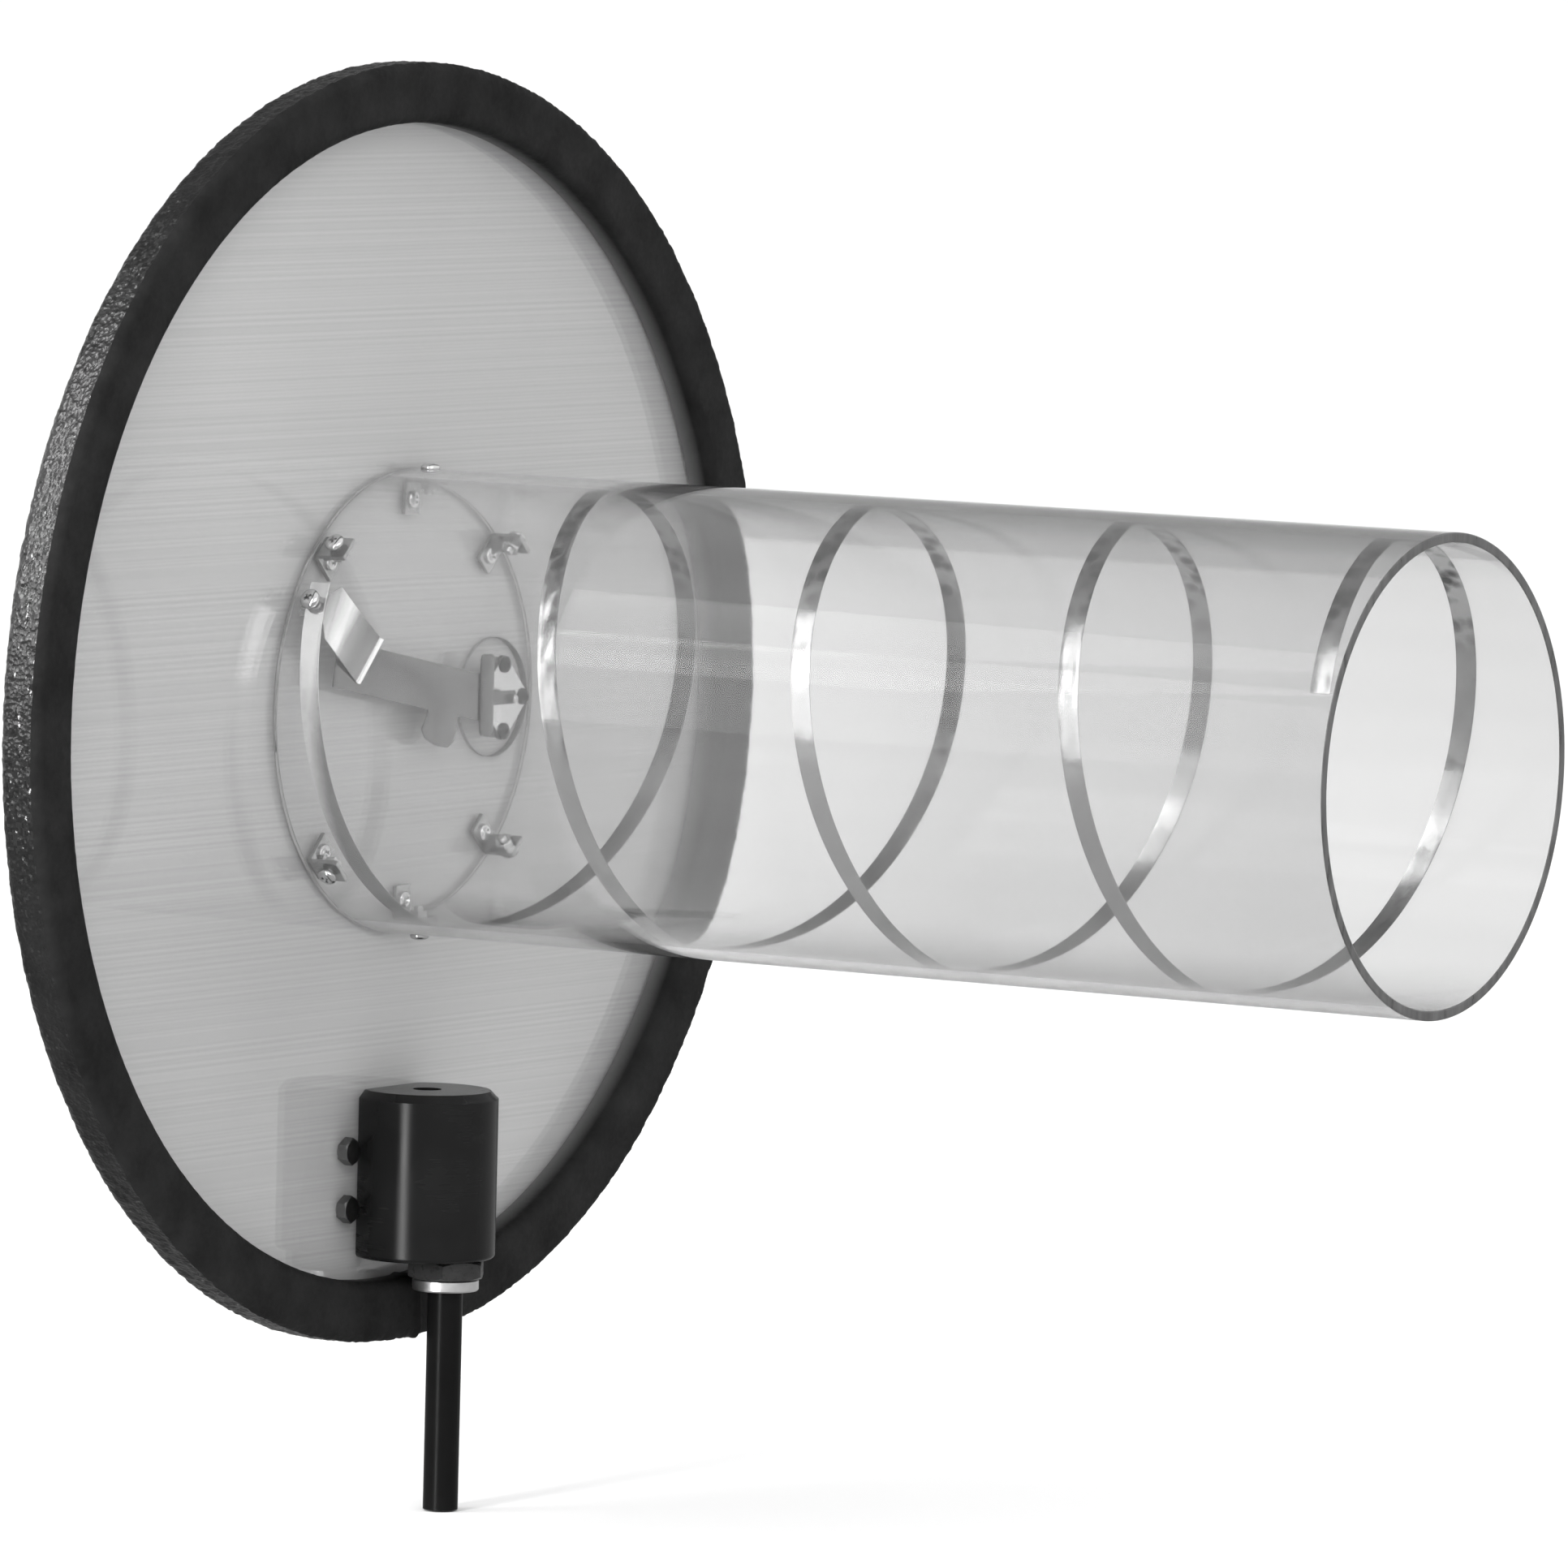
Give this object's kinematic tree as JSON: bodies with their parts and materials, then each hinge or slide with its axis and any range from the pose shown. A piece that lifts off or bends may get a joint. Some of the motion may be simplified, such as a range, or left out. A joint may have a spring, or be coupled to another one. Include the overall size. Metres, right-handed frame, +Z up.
{
  "type": "helical antenna",
  "caption": "Helical UHF antenna: clear tube with a metal strip wound inside, on a round ground disc with foam edge trim, turning on a stand rod.",
  "frame": {"origin": "centre of the stand rod's lower end", "axes": "+Z up along the stand rod; +X along the antenna's boresight, from the disc towards the open mouth of the tube; +Y completes the right-handed frame"},
  "size_m": [0.412, 0.4179, 0.473],
  "materials": {
    "clear_sheet": "clear gloss",
    "ground_plate": "satin grey",
    "foam": "matt closed-cell foam",
    "clear_tube": "clear gloss",
    "strip_metal": "brushed foil",
    "bright_steel": "bright zinc",
    "strap_metal": "tinned sheet",
    "connector_metal": "nickel plate",
    "insulator": "white PTFE",
    "pin_metal": "plated pin",
    "block_black": "black satin anodised",
    "backing_metal": "mill finish",
    "bolt_steel": "dark zinc",
    "nut_black": "black oxide",
    "stud_metal": "bright nickel",
    "rod_black": "black gloss"
  },
  "bodies": {
    "stand": {"stand_rod": "rod_black", "stand_stud": "stud_metal"},
    "antenna": {"clear_front_sheet": "clear_sheet", "ground_plate": "ground_plate", "foam_edge_trim": "foam", "antenna_tube": "clear_tube", "helix_strip": "strip_metal", "bracket_top": "bright_steel", "bracket_upper_left": "bright_steel", "bracket_lower_left": "bright_steel", "bracket_bottom": "bright_steel", "bracket_lower_right": "bright_steel", "bracket_upper_right": "bright_steel", "tube_screws": "bright_steel", "tube_nuts": "bright_steel", "disc_screws": "bright_steel", "disc_nuts": "bright_steel", "feed_screw": "bright_steel", "feed_nut": "bright_steel", "feed_strap_upper": "strap_metal", "feed_strap_lower": "strap_metal", "feed_end_plate": "strap_metal", "connector_body": "connector_metal", "connector_insulator": "insulator", "connector_pin": "pin_metal", "connector_screws": "bright_steel", "connector_spacers": "bright_steel", "connector_nuts": "bright_steel", "stand_block": "block_black", "backing_plate": "backing_metal", "hex_bolts": "bolt_steel", "hex_bolt_nuts": "bolt_steel", "block_bolts": "bolt_steel"},
    "lock_nut": {"lock_nut": "nut_black"}
  },
  "joints": [
    {"name": "antenna_swivel", "type": "hinge", "parent": "stand", "child": "antenna", "pos_m": [0, 0, 0.09], "axis": [0, 0, 1], "range_deg": [-180, 180]},
    {"name": "lock_nut_turn", "type": "hinge", "parent": "stand", "child": "lock_nut", "pos_m": [0, 0, 0.079], "axis": [0, 0, 1], "range_deg": [-75, 75]}
  ]
}
